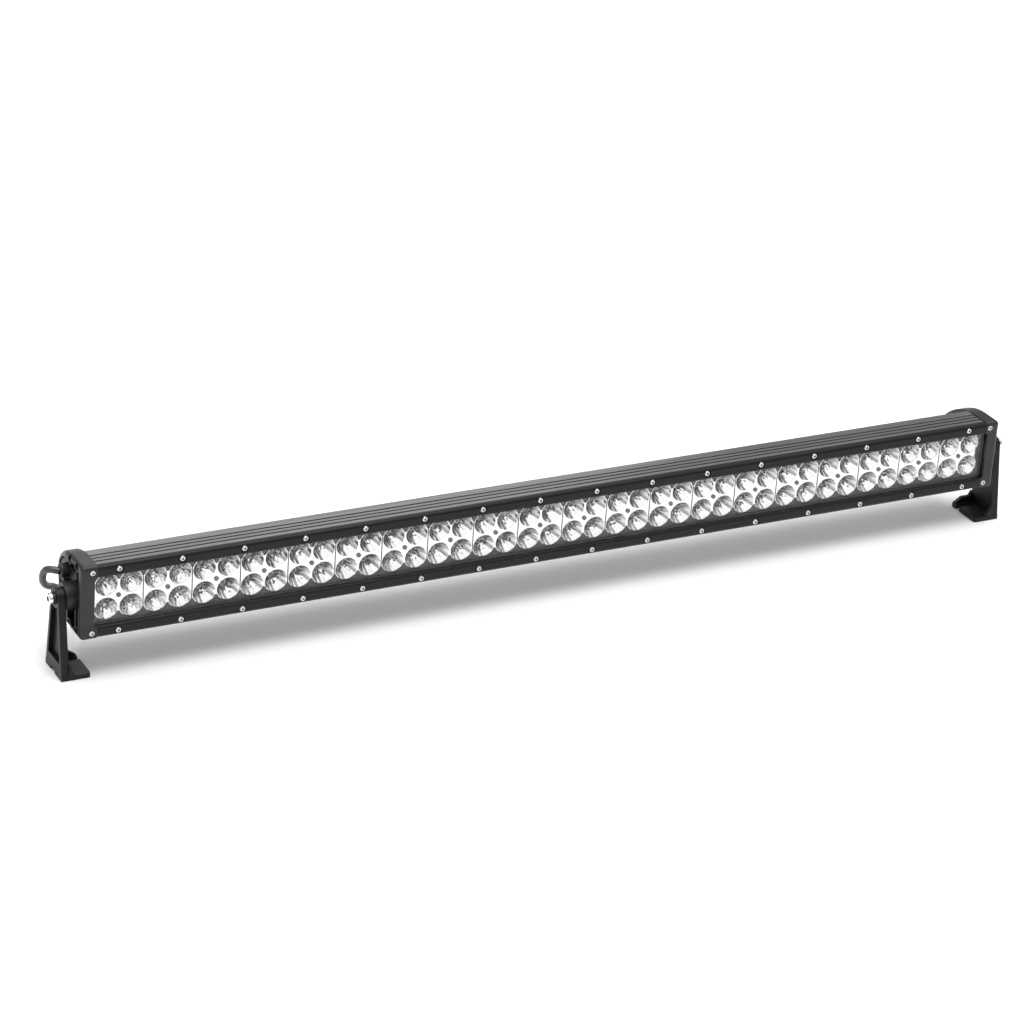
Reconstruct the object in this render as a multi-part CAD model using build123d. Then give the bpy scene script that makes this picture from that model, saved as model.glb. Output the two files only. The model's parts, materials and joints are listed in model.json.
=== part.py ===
from build123d import *
import math
import os

# LED light bar, 41.5 inch class, double row, on two swivel brackets.
# Millimetres. X runs along the bar, the lit face looks towards -Y, +Z is up.
# The origin is on the ground under the middle of the bar.

# ---------------------------------------------------------------- driving dimensions
MODULE_COUNT = 20
MODULE_PITCH = 50.8
CUP_PITCH = 25.4
BOARD_COUNT = 4

MID_Z = 82.2                # height of the bar's middle line
PIVOT_Y = -13.2
PIVOT_DROP = 1.5            # the pivot lies this far below the middle line
PIVOT_Z = MID_Z - PIVOT_DROP
HALF_BODY = 524.5           # outer face of each end cap
HALF_HOUSING = 507.0
GASKET_T = 1.0
CAP_INNER_X = HALF_HOUSING + GASKET_T

FACE_Y = -40.0              # front face of the bezel strips
REAR_Y = 40.3               # back face of the end caps
LENS_FRONT_Y = -36.8
LENS_BACK_Y = -33.8
LEDGE_Y = -32.3             # where the lens gasket sits
FLANGE_Y = -30.2            # front of the reflector flanges
FLANGE_T = 1.0
BOARD_Y = -15.4             # front of the LED boards
BOARD_T = 1.6
BASE_Y = BOARD_Y + BOARD_T
BASE_T = 3.5
ROOF_REAR_Y = -3.5

HALF_ROOF = 38.3            # half height of the housing
HALF_BEZEL = 38.6
BEZEL_OUTER_R = 4.5
BEZEL_INNER_R = 3.0
HALF_CAP = 39.2
HALF_WINDOW = 25.9          # half height of the opening between the bezel strips
HALF_CAVITY = 27.2
HALF_LENS = 30.2
LENS_CORNER_R = 1.5
WINDOW_X = 510.8            # half length of the opening between the end caps
LENS_X = 513.4

# The end cap's back follows an arc above and below the middle line.
ARC_Y = -15.0
ARC_DROP = 33.0
ARC_R = HALF_CAP + ARC_DROP
CAP_EDGE_R = 4.0

ROOF_T = 2.8
LEDGE_T = 8.5
SCREW_DUCT_R = 3.6          # screw channels along the inside of the housing
SCREW_DUCT_HOLE_R = 1.7
GROOVE_YS = (-27.3, -20.8, -14.7)
GROOVE_W = 2.2
GROOVE_D = 1.4
FIN_T = 2.0
FIN_STEP = 7.8
FINS_PER_SIDE = 4
FIN_SETBACK = 3.5           # fins stop this far inside the end caps' outline

SCREW_PITCH = 64.77
SCREWS_PER_STRIP = 16
SCREW_Z = 33.0
CORNER_SCREW_X = 513.0
CORNER_SCREW_Z = 32.4
M3_HEAD_R = 2.8
M3_HEAD_H = 1.6
M3_SHANK_R = 1.45
M3_HOLE_R = 1.5
M3_CLEAR_R = 1.6
BOARD_HOLE_R = 1.25
M3_SOCKET_AF = 2.6
M3_SOCKET_D = 1.3
COUNTERBORE_R = 4.0
COUNTERBORE_D = 1.3

CUP_R = 11.7
CUP_WALL = 0.7
CUP_THROAT_R = 3.2
CUP_DEPTH = 13.6
SCALLOP_R = 12.2            # lobes of the bright flange round each cup
CROSS_HALF_H = 17.0
POST_R = 2.6                # screw post in the middle of each module
POST_HOLE_R = 1.3
PANEL_T = 1.0
PANEL_HALF_H = 27.0
PANEL_HOLE_R = 12.3         # clears the cups behind their flange

BOSS_R = 14.0               # pivot boss on each end cap
BOSS_X = 533.6
LEG_GAP = 0.2
LEG_IN_X = BOSS_X + LEG_GAP
LEG_OUT_X = 541.6
EYE_R = 10.0
FOOT_IN_X = 511.6
FOOT_HALF_W = 22.0
FOOT_T = 4.8
FOOT_FRONT_Y = PIVOT_Y - FOOT_HALF_W
FOOT_REAR_Y = PIVOT_Y + FOOT_HALF_W
FOOT_CORNER_R = 2.5
RAIL_W = 4.0                # edge left standing round the leg's channel
LEG_CHANNEL_D = 4.2
LEG_CHANNEL_END_Z = 16.0
WEB_T = 4.0
WEB_W = 7.0
WEB_H = 12.0
RIB_TOP_X = 521.0
RIB_TOP_Z = 11.0
SLOT_Y = -1.7
SLOT_W = 6.6
SLOT_END_X = 529.5
NOTCH_Y = -11.0             # arch under the leg
NOTCH_Z = -3.0
NOTCH_R = 7.0
SHANK_R = 3.0
EYE_BORE_R = 3.08

GLAND_Y = 9.0
GLAND_Z = MID_Z + 14.8
CORD_R = 3.6

STRIP_SCREW_L = 10.0
CORNER_SCREW_L = 8.0
POCKET_D = 7.0              # hollow in the outer side of each end cap
POCKET_INSET = 5.0
COLUMN_T = 8.0              # depth of the cap's solid front column
RIB_T = 2.0
SHELF_Z = 3.0               # shelf between the pivot boss and the cable entry
LOW_RIB_YS = (-24.0, -2.0, 16.0)
CAP_SCREW_PAD_R = 5.2
CAP_SCREW_HEAD_R = 3.5
CAP_SCREW_HEAD_H = 2.6
CAP_SCREW_SHANK_R = 1.65
CAP_SCREW_HOLE_R = 2.2
CORNER_HOLE_D = 11.0
INSERT_R = 4.5
INSERT_L = 12.0
WIRE_X0 = 509.5             # wiring channel inside each cap's wall
WIRE_X1 = 513.3
WIRE_Y = -20.0
SCREW_HEAD_D = 6.0          # the end-cap screws' heads sit this deep
ENTRY_X = 519.5             # seat of the gland or vent on its pad
TAPER_START_Y = 5.0         # from here back the cap's outer side leans inwards
TAPER_END_X = 517.5


# ---------------------------------------------------------------- small helpers
def block(x0, x1, y0, y1, z0, z1):
    """A box between two corners."""
    centre = Pos((x0 + x1) / 2, (y0 + y1) / 2, (z0 + z1) / 2)
    return centre * Box(x1 - x0, y1 - y0, z1 - z0)


def rod_x(x0, x1, y, z, radius):
    """A round bar along X."""
    return Pos((x0 + x1) / 2, y, z) * Rot(0, 90, 0) * Cylinder(radius, x1 - x0)


def rod_y(y0, y1, x, z, radius):
    """A round bar along Y."""
    return Pos(x, (y0 + y1) / 2, z) * Rot(90, 0, 0) * Cylinder(radius, y1 - y0)


def rect(y0, y1, z0, z1):
    """A rectangle in the Y-Z plane, with z measured from the bar's middle line."""
    return Pos((y0 + y1) / 2, (z0 + z1) / 2) * Rectangle(y1 - y0, z1 - z0)


def rect_pair(y0, y1, z0, z1):
    """The same rectangle above and below the middle line."""
    return rect(y0, y1, z0, z1) + rect(y0, y1, -z1, -z0)


def slab(outline, x0, x1):
    """Extrude a Y-Z outline from x0 to x1, at the height of the bar."""
    start = Plane(origin=(x0, 0, MID_Z), x_dir=(0, 1, 0), z_dir=(1, 0, 0))
    return extrude(start * outline, x1 - x0)


def hex_prism_x(x0, x1, y, z, across_flats):
    """A hexagonal bar along X."""
    start = Plane(origin=(x0, y, z), x_dir=(0, 1, 0), z_dir=(1, 0, 0))
    hexagon = RegularPolygon(across_flats / 2, 6, major_radius=False)
    return extrude(start * hexagon, x1 - x0)


def mirrored(shape):
    """The matching shape for the left end."""
    return mirror(shape, about=Plane.YZ)


def save(node, *shapes):
    """Write one node as parts/NODE.step, its pieces kept as separate solids."""
    solids = [solid for shape in shapes for solid in shape.solids()]
    piece = solids[0] if len(solids) == 1 else Compound(children=solids)
    piece.label = node
    export_step(piece, os.path.join("parts", node + ".step"))


# ---------------------------------------------------------------- housing and bezel
def fin_tip(z):
    """How far back a fin at height z reaches, kept inside the end caps' outline."""
    radius = ARC_R - FIN_SETBACK
    reach = math.sqrt(radius ** 2 - (z + FIN_T / 2 + ARC_DROP) ** 2)
    return min(ARC_Y + reach, REAR_Y - FIN_SETBACK)


def cap_screw_spots():
    """Where the end-cap screws run into the housing, as (y, height from middle)."""
    return [(-26.3, 34.3), (-26.3, -34.3), (-7.3, 34.3), (-7.3, -34.3)]


def make_housing():
    """Finned aluminium extrusion, open at the front."""
    roof_under = HALF_ROOF - ROOF_T
    outline = rect_pair(LENS_BACK_Y, ROOF_REAR_Y, roof_under, HALF_ROOF)
    outline += rect_pair(LENS_BACK_Y, LEDGE_Y + LEDGE_T, HALF_LENS + 0.4, HALF_ROOF)
    outline += rect_pair(LEDGE_Y, LEDGE_Y + LEDGE_T, HALF_CAVITY, HALF_ROOF)
    outline += rect(BASE_Y, BASE_Y + BASE_T, -HALF_ROOF, HALF_ROOF)
    for step in range(-FINS_PER_SIDE, FINS_PER_SIDE + 1):
        z = step * FIN_STEP
        outline += rect(BASE_Y, fin_tip(abs(z)), z - FIN_T / 2, z + FIN_T / 2)
    for y, z in cap_screw_spots():
        outline += Pos(y, z) * Circle(SCREW_DUCT_R)
    half = GROOVE_W / 2
    for y in GROOVE_YS:
        outline -= rect_pair(y - half, y + half, HALF_ROOF - GROOVE_D, HALF_ROOF + 1)
    for y, z in cap_screw_spots():
        outline -= Pos(y, z) * Circle(SCREW_DUCT_HOLE_R)
    housing = slab(outline, -HALF_HOUSING, HALF_HOUSING)
    for x, z in strip_screw_spots():
        housing -= rod_y(LENS_BACK_Y - 1, LENS_BACK_Y + 6, x, MID_Z + z, M3_HOLE_R)
    for x in module_centres():
        housing -= rod_y(BASE_Y - 1, BASE_Y + 2.6, x, MID_Z, BOARD_HOLE_R)
    return housing


def strip_screw_spots():
    """Bezel screws, as (x, height from the middle line)."""
    first = -SCREW_PITCH * (SCREWS_PER_STRIP - 1) / 2
    along = [first + i * SCREW_PITCH for i in range(SCREWS_PER_STRIP)]
    return [(x, z) for z in (SCREW_Z, -SCREW_Z) for x in along]


def corner_screw_spots():
    """The four bezel screws that sit in the end caps."""
    ends = (-CORNER_SCREW_X, CORNER_SCREW_X)
    return [(x, z) for z in (CORNER_SCREW_Z, -CORNER_SCREW_Z) for x in ends]


def make_top_bezel():
    """Rounded aluminium strip that clamps the upper edge of the lens."""
    outline = rect(FACE_Y, LENS_FRONT_Y, HALF_WINDOW, HALF_BEZEL)
    outline += rect(LENS_FRONT_Y, LENS_BACK_Y, HALF_LENS + 0.3, HALF_BEZEL)
    top_corner = outline.vertices().sort_by(Axis.X)[:2].sort_by(Axis.Y)[-1]
    outline = fillet(top_corner, BEZEL_OUTER_R)
    low_corner = outline.vertices().sort_by(Axis.Y)[:2].sort_by(Axis.X)[0]
    outline = fillet(low_corner, BEZEL_INNER_R)
    strip = slab(outline, -CAP_INNER_X + 0.1, CAP_INNER_X - 0.1)
    for x, z in strip_screw_spots():
        if z > 0:
            strip -= rod_y(FACE_Y - 1, FACE_Y + COUNTERBORE_D, x, MID_Z + z, COUNTERBORE_R)
            strip -= rod_y(FACE_Y, LENS_BACK_Y + 1, x, MID_Z + z, M3_CLEAR_R)
    return strip


def button_screw(x, z, face_y, length):
    """Socket button-head screw looking towards -Y, its head standing on face_y."""
    head = rod_y(face_y - M3_HEAD_H, face_y, x, z, M3_HEAD_R)
    rim = head.edges().filter_by(GeomType.CIRCLE).sort_by(Axis.Y)[0]
    head = fillet(rim, 0.9)
    shank = rod_y(face_y, face_y + length, x, z, M3_SHANK_R)
    start = Plane(origin=(x, face_y - M3_HEAD_H, z), x_dir=(1, 0, 0), z_dir=(0, 1, 0))
    hexagon = RegularPolygon(M3_SOCKET_AF / 2, 6, major_radius=False)
    socket = extrude(start * hexagon, M3_SOCKET_D)
    return head + shank - socket


def make_bezel_screws(spots, length):
    """Bezel screws at the given places, each a separate solid."""
    seat = FACE_Y + COUNTERBORE_D
    return [button_screw(x, MID_Z + z, seat, length) for x, z in spots]


# ---------------------------------------------------------------- lens and seal
def frame_plate(x_out, z_out, x_in, z_in, y0, y1):
    """A rectangular ring that lies in the X-Z plane."""
    outer = block(-x_out, x_out, y0, y1, MID_Z - z_out, MID_Z + z_out)
    inner = block(-x_in, x_in, y0 - 1, y1 + 1, MID_Z - z_in, MID_Z + z_in)
    return outer - inner


def make_lens():
    """Clear polycarbonate front window."""
    low = MID_Z - HALF_LENS
    lens = block(-LENS_X, LENS_X, LENS_FRONT_Y, LENS_BACK_Y, low, low + 2 * HALF_LENS)
    return fillet(lens.edges().filter_by(Axis.Y), LENS_CORNER_R)


def make_lens_gasket():
    """Silicone ring behind the lens."""
    return frame_plate(LENS_X, HALF_LENS, WINDOW_X, HALF_CAVITY + 0.1, LENS_BACK_Y, LEDGE_Y)


# ---------------------------------------------------------------- optics
def module_centres():
    """X of each reflector module, from left to right."""
    first = -MODULE_PITCH * (MODULE_COUNT - 1) / 2
    return [first + i * MODULE_PITCH for i in range(MODULE_COUNT)]


def cup_offsets():
    """The four cups of a module, as (x, z) from its centre."""
    half = CUP_PITCH / 2
    return [(-half, -half), (half, -half), (-half, half), (half, half)]


def cup_shell(extra):
    """Revolved parabolic dish whose mouth looks towards -Y, grown outwards by extra."""
    slope = (CUP_R ** 2 - CUP_THROAT_R ** 2) / CUP_DEPTH
    steps = 5
    curve = []
    for i in range(steps + 1):
        depth = CUP_DEPTH * i / steps
        curve.append((math.sqrt(CUP_THROAT_R ** 2 + slope * depth) + extra, -depth))
    side = Spline(*curve)
    rest = Polyline(curve[-1], (0, -CUP_DEPTH), (0, 0), curve[0])
    face = make_face(side + rest)
    return revolve(face, Axis.Y)


def make_reflector():
    """One 2 by 2 reflector module, centred on x = 0."""
    hole = Pos(0, FLANGE_Y + CUP_DEPTH, 0) * cup_shell(0)
    wall = Pos(0, FLANGE_Y + CUP_DEPTH, 0) * cup_shell(CUP_WALL)
    wall -= rod_y(FLANGE_Y - 1, FLANGE_Y + 0.8 * FLANGE_T, 0, 0, CUP_R + 2 * CUP_WALL)
    half = MODULE_PITCH / 2 - 0.08
    module = block(-half, half, FLANGE_Y, FLANGE_Y + FLANGE_T, -CROSS_HALF_H, CROSS_HALF_H)
    for x, z in cup_offsets():
        module += rod_y(FLANGE_Y, FLANGE_Y + FLANGE_T, x, z, SCALLOP_R)
        module += Pos(x, 0, z) * wall
    module += rod_y(FLANGE_Y, BOARD_Y, 0, 0, POST_R)
    for x, z in cup_offsets():
        module -= Pos(x, 0, z) * hole
    module -= rod_y(FLANGE_Y - 1, BOARD_Y + 1, 0, 0, POST_HOLE_R)
    return Pos(0, 0, MID_Z) * module


def make_backing_panel():
    """Dark sheet behind the reflector flanges, scalloped round the cups."""
    front = FLANGE_Y + FLANGE_T
    back = front + PANEL_T
    half = WINDOW_X - 0.2
    panel = block(-half, half, front, back, MID_Z - PANEL_HALF_H, MID_Z + PANEL_HALF_H)
    half = MODULE_PITCH * MODULE_COUNT / 2 - 2.0
    panel -= block(-half, half, front - 1, back + 1, MID_Z - 14.0, MID_Z + 14.0)
    for centre in module_centres():
        for x, z in cup_offsets():
            panel -= rod_y(front - 1, back + 1, centre + x, MID_Z + z, PANEL_HOLE_R)
    return panel


def make_reflector_screw(x):
    """Small pan-head screw that holds a module and its board to the housing."""
    head = rod_y(FLANGE_Y - 1.3, FLANGE_Y, x, MID_Z, 2.4)
    rim = head.edges().filter_by(GeomType.CIRCLE).sort_by(Axis.Y)[0]
    head = fillet(rim, 0.6)
    shank = rod_y(FLANGE_Y, BASE_Y + 2.4, x, MID_Z, 1.15)
    slot = block(x - 1.4, x + 1.4, FLANGE_Y - 1.4, FLANGE_Y - 0.7, MID_Z - 0.3, MID_Z + 0.3)
    cross = block(x - 0.3, x + 0.3, FLANGE_Y - 1.4, FLANGE_Y - 0.7, MID_Z - 1.4, MID_Z + 1.4)
    return head + shank - slot - cross


def make_board(index):
    """Aluminium-core circuit board under one quarter of the modules."""
    length = MODULE_PITCH * MODULE_COUNT / BOARD_COUNT
    x0 = -length * BOARD_COUNT / 2 + index * length
    board = block(x0 + 0.4, x0 + length - 0.4, BOARD_Y, BASE_Y, MID_Z - 24.0, MID_Z + 24.0)
    for x in module_centres():
        if x0 < x < x0 + length:
            board -= rod_y(BOARD_Y - 1, BASE_Y + 1, x, MID_Z, BOARD_HOLE_R)
    return board


def make_emitter(x, z):
    """LED package: a square body with a domed primary lens."""
    body = block(x - 1.75, x + 1.75, BOARD_Y - 0.8, BOARD_Y, z - 1.75, z + 1.75)
    dome = Pos(x, BOARD_Y - 0.8, z) * Sphere(1.4)
    cut = block(x - 2, x + 2, BOARD_Y - 0.4, BOARD_Y + 2, z - 2, z + 2)
    return body + (dome - cut)


def make_emitters():
    """All the LEDs, one under each cup."""
    spots = [(centre + x, MID_Z + z) for centre in module_centres() for x, z in cup_offsets()]
    return [make_emitter(x, z) for x, z in spots]


# ---------------------------------------------------------------- end caps
def cap_outline(inset):
    """End-cap profile with an arched top and bottom, shrunk by inset."""
    front = FACE_Y + inset
    back = REAR_Y - inset
    top = HALF_CAP - inset
    radius = ARC_R - inset
    end_z = math.sqrt(radius ** 2 - (back - ARC_Y) ** 2) - ARC_DROP
    mid_y = (ARC_Y + back) / 2
    mid_z = math.sqrt(radius ** 2 - (mid_y - ARC_Y) ** 2) - ARC_DROP
    upper = Polyline((front, -top), (front, top), (ARC_Y, top))
    upper_arc = ThreePointArc((ARC_Y, top), (mid_y, mid_z), (back, end_z))
    rear = Line((back, end_z), (back, -end_z))
    lower_arc = ThreePointArc((back, -end_z), (mid_y, -mid_z), (ARC_Y, -top))
    lower = Line((ARC_Y, -top), (front, -top))
    return make_face(upper + upper_arc + rear + lower_arc + lower)


def cap_pocket():
    """The hollow in the outer side of a cap, behind its thick front column."""
    column_y = FACE_Y + COLUMN_T
    pocket = cap_outline(POCKET_INSET) - rect(FACE_Y - 1, column_y, -50, 50)
    pocket -= Pos(PIVOT_Y, -PIVOT_DROP) * Circle(BOSS_R)
    pocket -= rect(column_y - 1, REAR_Y, SHELF_Z - RIB_T / 2, SHELF_Z + RIB_T / 2)
    for y in LOW_RIB_YS:
        pocket -= rect(y - RIB_T / 2, y + RIB_T / 2, -HALF_CAP, -SHELF_Z)
    for y, z in cap_screw_spots():
        pocket -= Pos(y, z) * Circle(CAP_SCREW_PAD_R)
    return slab(pocket, HALF_BODY - POCKET_D, HALF_BODY + 1)


def cap_taper():
    """The wedge that is missing from the outer side, towards the back."""
    outline = Polyline(
        (HALF_BODY, TAPER_START_Y), (TAPER_END_X, REAR_Y), (TAPER_END_X, REAR_Y + 1),
        (HALF_BODY + 1, REAR_Y + 1), (HALF_BODY + 1, TAPER_START_Y), (HALF_BODY, TAPER_START_Y))
    return extrude(Pos(0, 0, MID_Z - 50) * make_face(outline), 100)


def rounded_cap():
    """Right-hand end cap without its hollows, outer edges rounded."""
    cap = slab(cap_outline(0), CAP_INNER_X, HALF_BODY) - cap_taper()
    outer = cap.edges().filter_by(lambda edge: edge.center().X > TAPER_END_X)
    profile = outer.filter_by(Axis.Z, reverse=True)
    front_upright = outer.filter_by(Axis.Z).sort_by(Axis.Y)[0]
    front_ends = cap.edges().filter_by(Axis.X).group_by(Axis.Y)[0]
    return fillet([*profile, front_upright, *front_ends], CAP_EDGE_R)


def cap_hollows():
    """Room in the cap for the lens, its gasket and the optics."""
    x0 = CAP_INNER_X - 1
    rooms = [
        (WINDOW_X, FACE_Y - 1, LEDGE_Y, HALF_WINDOW),
        (LENS_X, LENS_FRONT_Y, LEDGE_Y, HALF_LENS),
        (WINDOW_X, LEDGE_Y - 1, BASE_Y, HALF_CAVITY),
    ]
    return [block(x0, x1, y0, y1, MID_Z - half, MID_Z + half) for x1, y0, y1, half in rooms]


def make_cap_body():
    """Right-hand end cap without its cable or vent hole."""
    cap = rounded_cap() - cap_pocket()
    cap += rod_x(CAP_INNER_X + 6, BOSS_X, PIVOT_Y, PIVOT_Z, BOSS_R)
    cap -= rod_x(BOSS_X - INSERT_L, BOSS_X + 1, PIVOT_Y, PIVOT_Z, INSERT_R)
    for room in cap_hollows():
        cap -= room
    head_seat = HALF_BODY - SCREW_HEAD_D
    for y, z in cap_screw_spots():
        cap -= rod_x(CAP_INNER_X - 1, HALF_BODY, y, MID_Z + z, CAP_SCREW_HOLE_R)
        cap -= rod_x(head_seat, HALF_BODY + 1, y, MID_Z + z, CAP_SCREW_HEAD_R + 0.4)
    for z in (MID_Z + CORNER_SCREW_Z, MID_Z - CORNER_SCREW_Z):
        cap -= rod_y(FACE_Y - 1, FACE_Y + COUNTERBORE_D, CORNER_SCREW_X, z, M3_HEAD_R + 0.3)
        cap -= rod_y(FACE_Y, FACE_Y + CORNER_HOLE_D, CORNER_SCREW_X, z, M3_HOLE_R)
    return cap


def entry_boss(radius):
    """Raised pad and duct on the pocket floor, on the right-hand cap."""
    floor = HALF_BODY - POCKET_D
    pad = rod_x(floor - 1, ENTRY_X, GLAND_Y, GLAND_Z, radius)
    return pad + block(floor - 1, ENTRY_X, -14, GLAND_Y, GLAND_Z - 6, GLAND_Z + 6)


def entry_channel(hole_radius, half_height):
    """Hole through the pad and a channel inside the wall to the front cavity."""
    hole = rod_x(WIRE_X0, HALF_BODY, GLAND_Y, GLAND_Z, hole_radius)
    low = GLAND_Z - half_height
    high = GLAND_Z + half_height
    return hole + block(WIRE_X0, WIRE_X1, WIRE_Y, GLAND_Y, low, high)


def make_left_cap():
    """Left end cap, with the threaded hole of the cable gland."""
    return mirrored(make_cap_body() + entry_boss(8.5) - entry_channel(5.0, 3.0))


def make_right_cap():
    """Right end cap, with the hole of the pressure vent."""
    return make_cap_body() + entry_boss(7.5) - entry_channel(3.0, 1.5)


def make_cap_gasket():
    """Flat seal between the housing's right end and its cap."""
    ring = rect(LENS_BACK_Y, ROOF_REAR_Y, -HALF_ROOF, HALF_ROOF)
    ring -= rect(LEDGE_Y, BASE_Y, -HALF_CAVITY, HALF_CAVITY)
    for y, z in cap_screw_spots():
        ring -= Pos(y, z) * Circle(CAP_SCREW_HOLE_R)
    ring -= rect(LENS_BACK_Y - 1, LEDGE_Y, -HALF_LENS - 0.4, HALF_LENS + 0.4)
    return slab(ring, HALF_HOUSING, CAP_INNER_X)


def make_cap_screws():
    """The eight screws that hold the end caps, heads outwards."""
    seat = HALF_BODY - SCREW_HEAD_D
    top = seat + CAP_SCREW_HEAD_H
    screws = []
    for y, z in cap_screw_spots():
        head = rod_x(seat, top, y, MID_Z + z, CAP_SCREW_HEAD_R)
        shank = rod_x(HALF_HOUSING - 10, seat, y, MID_Z + z, CAP_SCREW_SHANK_R)
        socket = hex_prism_x(top - 1.6, top + 1, y, MID_Z + z, 2.5)
        screw = head + shank - socket
        screws += [screw, mirrored(screw)]
    return screws


# ---------------------------------------------------------------- brackets and pivots
def leg_outline(inset):
    """Tapered leg with a round eye, as seen from the side, shrunk by inset."""
    radius = EYE_R - inset
    low = -PIVOT_Z
    half_foot = FOOT_HALF_W - inset
    run = math.hypot(half_foot, low)
    tilt = math.atan2(half_foot, -low) - math.asin(radius / run)
    ty = radius * math.cos(tilt)
    tz = radius * math.sin(tilt)
    crown = ThreePointArc((-ty, tz), (0, radius), (ty, tz))
    sides = Polyline((ty, tz), (half_foot, low), (-half_foot, low), (-ty, tz))
    return Pos(PIVOT_Y, -PIVOT_DROP) * make_face(crown + sides)


def make_bracket_leg():
    """Upright with a shallow channel down its outer side."""
    leg = slab(leg_outline(0), LEG_IN_X, LEG_OUT_X)
    channel = leg_outline(RAIL_W) - Pos(PIVOT_Y, -PIVOT_DROP) * Circle(EYE_R)
    channel -= rect(-60, 60, -MID_Z - 1, -MID_Z + LEG_CHANNEL_END_Z)
    return leg - slab(channel, LEG_OUT_X - LEG_CHANNEL_D, LEG_OUT_X + 1)


def make_foot_slot():
    """Room for the mounting bolt, open at the foot's inner end."""
    half = SLOT_W / 2
    slot = block(FOOT_IN_X - 1, SLOT_END_X, SLOT_Y - half, SLOT_Y + half, -1, FOOT_T + 1)
    return slot + Pos(SLOT_END_X, SLOT_Y, FOOT_T / 2) * Cylinder(half, FOOT_T + 2)


def profile_along_y(points, y0, y1):
    """Extrude an X-Z outline from y0 to y1."""
    start = Plane(origin=(0, y1, 0), x_dir=(1, 0, 0), z_dir=(0, -1, 0))
    return extrude(start * make_face(Polyline(*points, points[0])), y1 - y0)


def make_foot_gussets():
    """Web at each side of the foot, in the corner with the leg."""
    corner = LEG_IN_X
    points = [(corner, FOOT_T), (corner - WEB_W, FOOT_T), (corner, FOOT_T + WEB_H)]
    front = profile_along_y(points, FOOT_FRONT_Y, FOOT_FRONT_Y + WEB_T)
    return front + profile_along_y(points, FOOT_REAR_Y - WEB_T, FOOT_REAR_Y)


def make_foot_rib():
    """Low stiffening rib along the back edge of the foot, sloped at its free end."""
    points = [
        (FOOT_IN_X, 0), (FOOT_IN_X, FOOT_T), (RIB_TOP_X, RIB_TOP_Z),
        (LEG_IN_X + 1, RIB_TOP_Z), (LEG_IN_X + 1, 0)]
    return profile_along_y(points, FOOT_REAR_Y - WEB_T, FOOT_REAR_Y)


def make_right_bracket():
    """Cast bracket: channelled leg, slotted foot turned in under the bar."""
    foot = block(FOOT_IN_X, LEG_OUT_X, FOOT_FRONT_Y, FOOT_REAR_Y, 0, FOOT_T)
    front_corner = foot.edges().filter_by(Axis.Z).group_by(Axis.X)[0].sort_by(Axis.Y)[0]
    foot = fillet(front_corner, FOOT_CORNER_R)
    bracket = make_bracket_leg() + foot + make_foot_rib() + make_foot_gussets()
    bracket -= make_foot_slot()
    bracket -= rod_x(LEG_IN_X - 1, LEG_OUT_X + 1, NOTCH_Y, NOTCH_Z, NOTCH_R)
    return bracket - rod_x(LEG_IN_X - 1, LEG_OUT_X + 1, PIVOT_Y, PIVOT_Z, EYE_BORE_R)


WASHER_X = LEG_OUT_X + 0.15
WASHER_T = 1.6
SPRING_X = WASHER_X + WASHER_T
SPRING_T = 1.5
HEAD_X = SPRING_X + SPRING_T
HEAD_T = 3.3
HEAD_R = 5.8
HEAD_SOCKET_AF = 5.0
HEAD_SOCKET_D = 2.4


def make_pivot_bolt():
    """Stainless button-head pivot bolt of the right bracket."""
    top = HEAD_X + HEAD_T
    head = rod_x(HEAD_X, top, PIVOT_Y, PIVOT_Z, HEAD_R)
    rim = head.edges().filter_by(GeomType.CIRCLE).sort_by(Axis.X)[-1]
    head = fillet(rim, 1.6)
    shank = rod_x(BOSS_X - INSERT_L + 1, HEAD_X, PIVOT_Y, PIVOT_Z, SHANK_R)
    socket = hex_prism_x(top - HEAD_SOCKET_D, top + 1, PIVOT_Y, PIVOT_Z, HEAD_SOCKET_AF)
    return head + shank - socket


def make_flat_washer():
    """Plain washer that backs the bracket's eye."""
    washer = rod_x(WASHER_X, WASHER_X + WASHER_T, PIVOT_Y, PIVOT_Z, 6.2)
    return washer - rod_x(WASHER_X - 1, SPRING_X + 1, PIVOT_Y, PIVOT_Z, SHANK_R + 0.15)


def make_spring_washer():
    """Split spring washer under the bolt head."""
    washer = rod_x(SPRING_X, HEAD_X, PIVOT_Y, PIVOT_Z, 5.3)
    washer -= rod_x(SPRING_X - 1, HEAD_X + 1, PIVOT_Y, PIVOT_Z, SHANK_R + 0.15)
    return washer - block(SPRING_X - 1, HEAD_X + 1, PIVOT_Y - 0.5, PIVOT_Y + 0.5, PIVOT_Z, PIVOT_Z + 8)


def make_pivot_insert():
    """Threaded steel insert pressed into the boss."""
    insert = rod_x(BOSS_X - INSERT_L, BOSS_X - 0.2, PIVOT_Y, PIVOT_Z, INSERT_R)
    return insert - rod_x(BOSS_X - INSERT_L - 1, BOSS_X + 1, PIVOT_Y, PIVOT_Z, SHANK_R)


# ---------------------------------------------------------------- cable entry
GLAND_SEAT_X = -ENTRY_X
NUT_END_X = -528.6
NUT_R = 6.8
NUT_GROOVES = 14


def make_gland_body():
    """Gland screwed into the left cap: thread, hexagon and collar."""
    body = rod_x(GLAND_SEAT_X, GLAND_SEAT_X + 4.5, GLAND_Y, GLAND_Z, 4.9)
    body += hex_prism_x(GLAND_SEAT_X - 2.6, GLAND_SEAT_X, GLAND_Y, GLAND_Z, 13.0)
    body += rod_x(GLAND_SEAT_X - 6, GLAND_SEAT_X - 2.6, GLAND_Y, GLAND_Z, 5.4)
    return body - rod_x(GLAND_SEAT_X - 7, GLAND_SEAT_X + 9, GLAND_Y, GLAND_Z, 4.3)


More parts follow.
